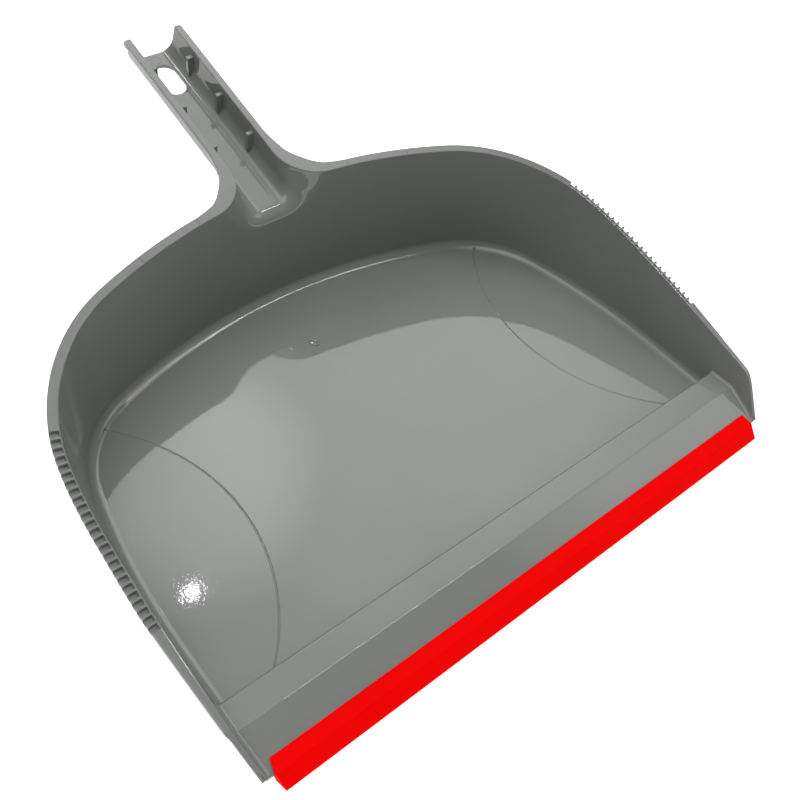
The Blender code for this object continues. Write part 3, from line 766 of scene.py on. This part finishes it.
def gap_depth(offset, distance):
    """Depth of a comb gap, at an offset along the rim from its middle and a distance outwards."""
    half = TOOTH_GAP_TOP / 2.0
    slope = (TOOTH_GAP_TOP - TOOTH_GAP_BOTTOM) / 2.0
    across = smooth_step((half + TOOTH_EDGE - abs(offset)) / (slope + 2.0 * TOOTH_EDGE))
    past = max(abs(offset) - (half - TOOTH_CORNER), 0.0)
    inner = TOOTH_GAP_INSET + TOOTH_CORNER - math.sqrt(max(TOOTH_CORNER ** 2 - past ** 2, 0.0))
    inward = smooth_step((distance - inner + TOOTH_EDGE) / (3.0 * TOOTH_EDGE))
    return TOOTH_GAP_DEPTH * across * inward


def rim_stations(line, gaps, marks):
    """Lengths of the rim's rings: regular, and close together at the comb, marks and tips."""
    stations = set(np.linspace(0.0, line.total, 260))
    corner = line.length_at_y(RIM_CORNER)
    stations |= set(np.linspace(corner - CORNER_BLEND, corner + CORNER_BLEND, 15))
    stations |= {line.total - TIP_ROUNDING * share for share in TIP_STATIONS}
    half = TOOTH_GAP_TOP / 2.0
    for gap in gaps:
        stations = {s for s in stations if abs(s - gap) > TOOTH_PITCH / 2.0}
    for gap in gaps:
        for offset in GAP_STATIONS:
            stations |= {gap + offset * half / GAP_SPREAD, gap - offset * half / GAP_SPREAD}
    for mark in marks:
        stations |= {mark + RIM_MARK_WIDTH * share for share in MARK_STATIONS}
    return sorted(stations)


def rim_section(width, skirt):
    """The rim's closed section as (outwards, up): inner face, top, outer face and underside."""
    low, top = -skirt, FLANGE_RISE
    a, b, c = RIM_INNER_ROUNDING, RIM_OUTER_ROUNDING, RIM_LOWER_ROUNDING
    section = [(RIM_INSET + FLANGE_LEAN, low)]
    for index in range(5):
        angle = math.pi / 2.0 * index / 4.0
        section.append((RIM_INSET + a - a * math.cos(angle), top - a + a * math.sin(angle)))
    section += [(TOOTH_GAP_INSET + step * TOOTH_EDGE, top) for step in range(-1, 7)]
    for share in (0.35, 0.7):
        section.append((mix(TOOTH_GAP_INSET + 6 * TOOTH_EDGE, width - b, share), top))
    for index in range(6):
        angle = math.pi / 2.0 * index / 5.0
        section.append((width - b + b * math.sin(angle), top - b + b * math.cos(angle)))
    section += [(width, mix(top - b, low + c, share)) for share in (0.25, 0.5, 0.75)]
    for index in range(4):
        angle = math.pi / 2.0 * index / 3.0
        section.append((width - c + c * math.cos(angle), low + c - c * math.sin(angle)))
    return section


def rim_ring(line, length, gaps, marks):
    """One ring of the rim, lowered where a comb gap or a mark crosses it."""
    point, outward, upward = line.frame(length)
    gap = min(gaps, key=lambda place: abs(place - length))
    mark = min(abs(place - length) for place in marks)
    dip = RIM_MARK_DEPTH * smooth_step((0.6 * RIM_MARK_WIDTH - mark) / (0.2 * RIM_MARK_WIDTH))
    skirt = mix(FRONT_EDGE_SKIRT, FLANGE_SKIRT, line.past_corner(length))
    base = -skirt + RIM_LOWER_ROUNDING
    ring = []
    for distance, height in rim_section(line.width(length), skirt):
        drop = max(gap_depth(length - gap, distance), dip)
        if height > base:
            height = base + (height - base) * (1.0 - drop / (FLANGE_RISE - base))
        ring.append(point + outward * distance + upward * height)
    return ring


def make_rim(line, material):
    gaps, marks = gap_lengths(line), [line.length_at_x(x) for x in RIM_MARKS_X]
    rings = [rim_ring(line, length, gaps, marks) for length in rim_stations(line, gaps, marks)]
    mesh = bmesh.new()
    add_pair(mesh, rings)
    return smooth_piece("pan_rim", mesh, material)


# --- ramp, ribs and lip ---
def wall_x(y, z):
    """Inner face of the side wall near the front."""
    place = (y - FRONT_Y) / (FLOOR_OUTLINE["straight_end"] - FRONT_Y)
    share = (z - WALL) / (rim_plane(y) - WALL)
    return mix(FLOOR_OUTLINE["half_width"], rim_point(min(place, 1.0))[0], share)


def tongue_top(y):
    return RAMP_HEIGHT - RAMP_FALL * (RIDGE_Y - y)


def ramp_corners():
    """The bent front sheet's section: step, shelf, ridge and the slope down to the tongue."""
    under = WALL * math.sqrt(1.0 + RAMP_FALL ** 2)
    inset = WALL * math.tan(math.atan(RAMP_FALL) / 2.0)
    low, tongue = RAMP_CLEARANCE, tongue_top(TONGUE_FRONT_Y)
    return [
        (STEP_FOOT_Y, low, RAMP_FOOT_ROUNDING), (STEP_TOP_Y, RAMP_HEIGHT, STEP_EDGE_RADIUS),
        (RIDGE_Y, RAMP_HEIGHT, RIDGE_RADIUS), (TONGUE_FRONT_Y, tongue, TONGUE_ROUNDING),
        (TONGUE_FRONT_Y, tongue - under, TONGUE_ROUNDING),
        (RIDGE_Y + inset, RAMP_HEIGHT - WALL, RIDGE_RADIUS),
        (STEP_TOP_Y - WALL, RAMP_HEIGHT - WALL, STEP_EDGE_RADIUS / 2.0),
        (STEP_FOOT_Y - WALL, low, RAMP_FOOT_ROUNDING)]


def make_ramp(material):
    def end(sign):
        return lambda y, z: sign * (wall_x(y, z) + RAMP_SEAT)

    data = prism(rounded(ramp_corners()), end(-1), end(1), "pan_ramp")
    return freeze(new_piece("pan_ramp", data, material))


def make_ramp_ends(material):
    """Hollow fillets between the ramp's top and the side walls."""
    steps, radius, below = 6, RAMP_END_RADIUS, RAMP_END_DEPTH
    outline = [np.array(point) for point in rounded(ramp_corners(), steps)]
    top = [outline[steps]] + outline[steps + 1:3 * (steps + 1)]
    top.append(mix(top[-1], outline[3 * (steps + 1)], RAMP_END_STOP))
    rings = []
    for index, point in enumerate(top):
        along = unit(top[min(index + 1, len(top) - 1)] - top[max(index - 1, 0)])
        up = np.array([along[1], -along[0]])
        ring = []
        for step in range(9):
            angle = math.pi / 2.0 * step / 8.0
            y, z = point + up * (radius * (1.0 - math.cos(angle)) - RAMP_END_LIFT)
            x = wall_x(y, z) - radius * (1.0 - math.sin(angle)) + RAMP_END_LIFT
            ring.append(np.array([x, y, z]))
        for out, height in ((below, radius), (below, -below), (-radius, -below)):
            y, z = point + up * height
            ring.append(np.array([wall_x(y, z) + out, y, z]))
        rings.append(ring)
    mesh = bmesh.new()
    add_pair(mesh, rings)
    return smooth_piece("ramp_ends", mesh, material)


def rib_point(along, x, depth):
    """The ribs stand upright, so that they lean against the square of the rim plane."""
    return handle_point(along - math.tan(RIM_ANGLE) * (depth - RIB_TOP), x, depth)


def make_ribs(material):
    """Six thin gussets that run down the channel's walls and end on its rounded corners."""
    inside = CHANNEL_HALF_WIDTH + OVERLAP
    tip = CHANNEL_HALF_WIDTH - RIB_REACH
    belly, belly_share = RIB_BELLY
    outline = [
        (inside, RIB_TOP), (tip, RIB_TOP), (tip, RIB_FOOT),
        (tip + RIB_SOLE[0], RIB_FOOT + RIB_SOLE[1]),
        (inside - belly, mix(RIB_TOP, RIB_FOOT, belly_share))]
    mesh = bmesh.new()
    for along in RIB_PLACES:
        rings = [[rib_point(along + side * RIB_THICKNESS / 2, x, depth) for x, depth in outline]
                 for side in (-1, 1)]
        add_pair(mesh, rings)
    piece = new_piece("channel_ribs", finish_mesh(mesh, "channel_ribs"), material)
    edges = piece.modifiers.new("edges", "BEVEL")
    edges.width = RIB_ROUNDING
    edges.segments = 3
    return freeze(piece)


def lip_corners():
    """Section of the rubber lip: two legs round the tongue and a flap down to the ground."""
    thick = math.sqrt(1.0 + RAMP_FALL ** 2)
    front = TONGUE_FRONT_Y - LIP_GAP
    under = (WALL + LIP_GAP) * thick
    back_low = LIP_BACK_Y - LIP_LOWER_SHORTER
    corners = [
        (LIP_BACK_Y, tongue_top(LIP_BACK_Y) + LIP_GAP * thick),
        (LIP_BACK_Y - LIP_CHAMFER, tongue_top(LIP_BACK_Y) + (LIP_GAP + LIP_LEG) * thick),
        (front - LIP_BROW[0], tongue_top(front) + (LIP_GAP + LIP_BROW[1] * LIP_LEG) * thick),
        (LIP_NOSE_Y, LIP_TIP[1]), (LIP_NOSE_Y + LIP_TIP[0], 0.0),
        (front - LIP_THROAT[0], LIP_THROAT[1]),
        (back_low, tongue_top(back_low) - under - LIP_LEG * thick),
        (back_low, tongue_top(back_low) - under),
        (front, tongue_top(front) - under),
        (front, tongue_top(front) + LIP_GAP * thick)]
    return [(y, z, radius) for (y, z), radius in zip(corners, LIP_ROUNDINGS)]


def lip_end(sign):
    """The lip's ends: cut back a little at the rear edge and fuller in the middle."""
    def across(y, z):
        forward = (LIP_BACK_Y - y) / (LIP_BACK_Y - LIP_NOSE_Y)
        bulge = LIP_BULGE * math.sin(math.pi * clamp(forward)) ** 2
        cut = LIP_END_CUT[0] * clamp(1.0 - forward * LIP_END_CUT[1])
        return sign * (LIP_HALF_LENGTH - cut + bulge)
    return across


def make_lip(material):
    data = prism(rounded(lip_corners(), 5), lip_end(-1), lip_end(1), "front_lip")
    return freeze(new_piece("front_lip", data, material))


def add_ring(mesh, centre, across, along, up, radius):
    """A thin raised circle on a flat face."""
    rings = []
    for index in range(40):
        angle = 2.0 * math.pi * index / 40
        outward = across * math.cos(angle) + along * math.sin(angle)
        ring = []
        for side, height in MARK_SECTION:
            ring.append(centre + outward * (radius + side * MARK_LINE) + up * height * MARK_LINE)
        rings.append(ring)
    add_grid(mesh, rings + rings[:1], closed=True)


def make_marks(material):
    """The gate's stub on the floor, and the circles left by two ejector pins."""
    right, back, up = np.eye(3)
    mesh = bmesh.new()
    floor = np.array([0.0, 0.0, WALL])
    add_ring(mesh, floor + np.array([*EJECTOR_MARK, 0.0]), right, back, up, EJECTOR_RADIUS)
    handle_back = np.array([0.0, math.cos(RIM_ANGLE), math.sin(RIM_ANGLE)])
    handle_up = np.array([0.0, -math.sin(RIM_ANGLE), math.cos(RIM_ANGLE)])
    centre = handle_point(HANDLE_MARK, 0.0, CHANNEL_DEPTH)
    add_ring(mesh, centre, right, handle_back, handle_up, HANDLE_MARK_RADIUS)
    gate = floor + np.array([*GATE_MARK, 0.0])
    rings = []
    for radius, height in GATE_SECTION:
        ring = []
        for index in range(20):
            angle = 2.0 * math.pi * index / 20
            rough = 1.0
            for depth, bumps, turn in GATE_RAGGED:
                rough += depth * math.sin(bumps * angle + turn)
            flat = np.array([math.cos(angle), math.sin(angle), 0.0]) * rough * radius
            ring.append(gate + (flat + up * height) * GATE_RADIUS)
        rings.append(ring)
    add_tube(mesh, rings)
    return smooth_piece("mould_marks", mesh, material)


# --- materials ---
def shader_of(material):
    material.use_nodes = True
    return material.node_tree.nodes["Principled BSDF"]


def add_node(material, kind, inputs=None, **settings):
    """A shader node with its settings, and its inputs set or linked."""
    node = material.node_tree.nodes.new(kind)
    for name, value in settings.items():
        setattr(node, name, value)
    for name, value in (inputs or {}).items():
        link_or_set(material, node.inputs[name], value)
    return node


def link_or_set(material, socket, value):
    if isinstance(value, bpy.types.NodeSocket):
        material.node_tree.links.new(value, socket)
    else:
        socket.default_value = value


def object_noise(material, scale, detail=2.0, stretch=(1.0, 1.0, 1.0)):
    """Noise over the object's own coordinates, from 0 to 1."""
    place = add_node(material, "ShaderNodeTexCoord")
    mapping = add_node(material, "ShaderNodeMapping", {
        "Vector": place.outputs["Object"], "Scale": stretch})
    noise = add_node(material, "ShaderNodeTexNoise", {
        "Vector": mapping.outputs["Vector"], "Scale": scale, "Detail": detail})
    return noise.outputs["Fac"]


def remap(material, value, low, high, from_low=NOISE_SPAN[0], from_high=NOISE_SPAN[1]):
    node = add_node(material, "ShaderNodeMapRange", {
        "Value": value, "From Min": from_low, "From Max": from_high, "To Min": low, "To Max": high})
    return node.outputs["Result"]


def patchy(material, scale, detail, low=0.0, high=1.0):
    return remap(material, object_noise(material, scale, detail), low, high)


def colour_between(material, share, first, second):
    node = add_node(material, "ShaderNodeMix", data_type="RGBA")
    colours = [socket for socket in node.inputs if socket.type == "RGBA"]
    for socket, colour in zip(colours, (first, second)):
        socket.default_value = (*colour, 1.0)
    material.node_tree.links.new(share, node.inputs[0])
    return next(socket for socket in node.outputs if socket.type == "RGBA")


def scratches(material):
    """Fine hairlines in two directions, 0 on clean plastic and 1 in a hairline."""
    both = add_node(material, "ShaderNodeMath", operation="MAXIMUM")
    for socket, (stretch, low, high) in zip(both.inputs, HAIRLINES):
        noise = object_noise(material, HAIRLINE_SCALE, 1.0, stretch)
        link_or_set(material, socket, remap(material, noise, 0.0, 1.0, low, high))
    return both.outputs[0]


def grey_plastic():
    material = bpy.data.materials.new("grey_gloss_plastic")
    shader = shader_of(material)
    colour = colour_between(material, patchy(material, BLOTCH_SCALE, 3.0), *PLASTIC_COLOURS)
    link_or_set(material, shader.inputs["Base Color"], colour)
    sums = add_node(material, "ShaderNodeMath", operation="MULTIPLY_ADD")
    patches = patchy(material, PATCH_SCALE, 4.0, *PLASTIC_ROUGHNESS)
    for socket, value in zip(sums.inputs, (scratches(material), HAIRLINE_ROUGHNESS, patches)):
        link_or_set(material, socket, value)
    link_or_set(material, shader.inputs["Roughness"], sums.outputs[0])
    waves = add_node(material, "ShaderNodeBump", {
        "Height": object_noise(material, WAVE_SCALE, 0.0),
        "Strength": 1.0, "Distance": WAVE_HEIGHT})
    dish = add_node(material, "ShaderNodeBump", {
        "Height": lens_dish(material), "Strength": 1.0, "Distance": LENS_DISH,
        "Normal": waves.outputs["Normal"]})
    grain = add_node(material, "ShaderNodeBump", {
        "Height": object_noise(material, *PLASTIC_GRAIN[:2]), "Strength": PLASTIC_GRAIN[2],
        "Distance": GRAIN_HEIGHT, "Normal": dish.outputs["Normal"]})
    link_or_set(material, shader.inputs["Normal"], grain.outputs["Normal"])
    return material


def lens_dish(material):
    """0 in the middle of the two lens-shaped floor areas, 1 at their grooves and beyond."""
    place = add_node(material, "ShaderNodeTexCoord")
    absolute = add_node(material, "ShaderNodeVectorMath", operation="ABSOLUTE")
    link_or_set(material, absolute.inputs[0], place.outputs["Object"])
    split = add_node(material, "ShaderNodeSeparateXYZ", {"Vector": absolute.outputs["Vector"]})
    plain = add_node(material, "ShaderNodeSeparateXYZ", {"Vector": place.outputs["Object"]})
    flat = add_node(material, "ShaderNodeCombineXYZ", {
        "X": split.outputs["X"], "Y": plain.outputs["Y"]})
    distance = add_node(material, "ShaderNodeVectorMath", operation="DISTANCE")
    link_or_set(material, distance.inputs[0], flat.outputs["Vector"])
    distance.inputs[1].default_value = (*LENS_CENTRE, 0.0)
    share = remap(material, distance.outputs["Value"], 0.0, 1.0, 0.0, LENS_RADIUS)
    square = add_node(material, "ShaderNodeMath", operation="POWER")
    link_or_set(material, square.inputs[0], share)
    square.inputs[1].default_value = 2.0
    return square.outputs[0]


def red_rubber():
    material = bpy.data.materials.new("red_lip_rubber")
    shader = shader_of(material)
    colour = colour_between(material, patchy(material, RUBBER_BLOTCH_SCALE, 3.0), *RUBBER_COLOURS)
    link_or_set(material, shader.inputs["Base Color"], colour)
    patches = patchy(material, RUBBER_PATCH_SCALE, 4.0, *RUBBER_ROUGHNESS)
    link_or_set(material, shader.inputs["Roughness"], patches)
    shader.inputs["Specular IOR Level"].default_value = RUBBER_SHINE
    bump = add_node(material, "ShaderNodeBump", {
        "Height": object_noise(material, *RUBBER_GRAIN[:2]), "Strength": RUBBER_GRAIN[2],
        "Distance": GRAIN_HEIGHT})
    link_or_set(material, shader.inputs["Normal"], bump.outputs["Normal"])
    return material


# --- studio ---
def make_floor():
    """A plain pale floor under the object."""
    half = FLOOR_HALF
    mesh = bmesh.new()
    mesh.faces.new([mesh.verts.new(point) for point in (
        (-half, -half, 0.0), (half, -half, 0.0), (half, half, 0.0), (-half, half, 0.0))])
    floor = new_piece("studio_floor", finish_mesh(mesh, "studio_floor"))
    material = bpy.data.materials.new("pale_floor")
    shader = shader_of(material)
    for name, value in (
            ("Base Color", (FLOOR_GREY, FLOOR_GREY, FLOOR_GREY, 1.0)),
            ("Roughness", FLOOR_ROUGHNESS),
            ("Emission Color", (1.0, 1.0, 1.0, 1.0)),
            ("Emission Strength", FLOOR_GLOW)):
        shader.inputs[name].default_value = value
    floor.data.materials.append(material)
    floor.location.z = -FLOOR_DROP


class Sky:
    """Builds the studio's light as a sum of glows in the world's shader."""

    def __init__(self, world):
        self.nodes, self.links = world.node_tree.nodes, world.node_tree.links
        self.direction = self.nodes.new("ShaderNodeTexCoord").outputs["Generated"]

    def along(self, towards):
        """How far the direction points along another one, from -1 to 1."""
        node = self.nodes.new("ShaderNodeVectorMath")
        node.operation = "DOT_PRODUCT"
        node.inputs[1].default_value = Vector(towards).normalized()
        self.links.new(self.direction, node.inputs[0])
        return node.outputs["Value"]

    def fade(self, value, dark, bright, strength):
        node = self.nodes.new("ShaderNodeMapRange")
        node.interpolation_type = "SMOOTHSTEP"
        node.inputs["From Min"].default_value = dark
        node.inputs["From Max"].default_value = bright
        node.inputs["To Max"].default_value = strength
        self.links.new(value, node.inputs["Value"])
        return node.outputs["Result"]

    def combine(self, operation, first, second):
        node = self.nodes.new("ShaderNodeMath")
        node.operation = operation
        for socket, value in zip(node.inputs, (first, second)):
            if isinstance(value, float):
                socket.default_value = value
            else:
                self.links.new(value, socket)
        return node.outputs[0]

    def glow(self, towards, inner, outer, strength):
        """Round: fades between two angles from its direction, in degrees."""
        dark, bright = math.cos(math.radians(outer)), math.cos(math.radians(inner))
        return self.fade(self.along(towards), dark, bright, strength)

    def tube(self, across, place, half, lengthways, ends):
        """Long and thin: lies in a plane and fades at its two ends; only overhead."""
        off = self.combine("ABSOLUTE", self.combine("SUBTRACT", self.along(across), place), 0.0)
        total = self.fade(off, half, half / 2.0, TUBE_GLOW)
        length = self.along(lengthways)
        for share in (self.fade(length, ends[0], ends[0] + TUBE_FADE, 1.0),
                      self.fade(length, ends[1], ends[1] - TUBE_FADE, 1.0),
                      self.fade(self.along((0.0, 0.0, 1.0)), 0.0, HORIZON_FADE, 1.0)):
            total = self.combine("MULTIPLY", total, share)
        return total


def make_world():
    """White surroundings with soft lights above and two tubes that draw thin lines along edges."""
    world = bpy.data.worlds.new("studio")
    world.use_nodes = True
    sky = Sky(world)
    glows = [sky.glow(*light) for light in SOFT_LIGHTS]
    glows += [sky.tube(*light) for light in TUBE_LIGHTS]
    total = AMBIENT
    for glow in glows:
        total = sky.combine("ADD", total, glow)
    background = sky.nodes["Background"]
    background.inputs["Color"].default_value = (1.0, 1.0, 1.0, 1.0)
    sky.links.new(total, background.inputs["Strength"])
    bpy.context.scene.world = world


def make_camera():
    data = bpy.data.cameras.new("camera")
    data.lens = CAMERA_LENS
    data.sensor_width = CAMERA_SENSOR
    data.clip_start = CAMERA_NEAR
    camera = bpy.data.objects.new("camera", data)
    camera.location = CAMERA_PLACE
    aim = Vector(CAMERA_AIM).to_track_quat("-Z", "Y")
    roll = Quaternion((0.0, 0.0, 1.0), CAMERA_ROLL)
    camera.rotation_euler = (aim @ roll).to_euler()
    bpy.context.scene.collection.objects.link(camera)
    bpy.context.scene.camera = camera


def build():
    plastic, rubber = grey_plastic(), red_rubber()
    wall, channel, rim = pan_grids()
    line = RimLine(rim)
    moulding = [
        make_tray(wall, channel, line, plastic), make_rim(line, plastic), make_ramp(plastic),
        make_ramp_ends(plastic), make_ribs(plastic), make_marks(plastic)]
    for piece in moulding:
        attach(piece, "root")
        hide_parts("pan_body")
    lip = make_lip(rubber)
    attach(lip, "root")
    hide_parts("rubber_lip")


build()
make_floor()
make_world()
make_camera()
bpy.context.scene.view_settings.view_transform = "Standard"
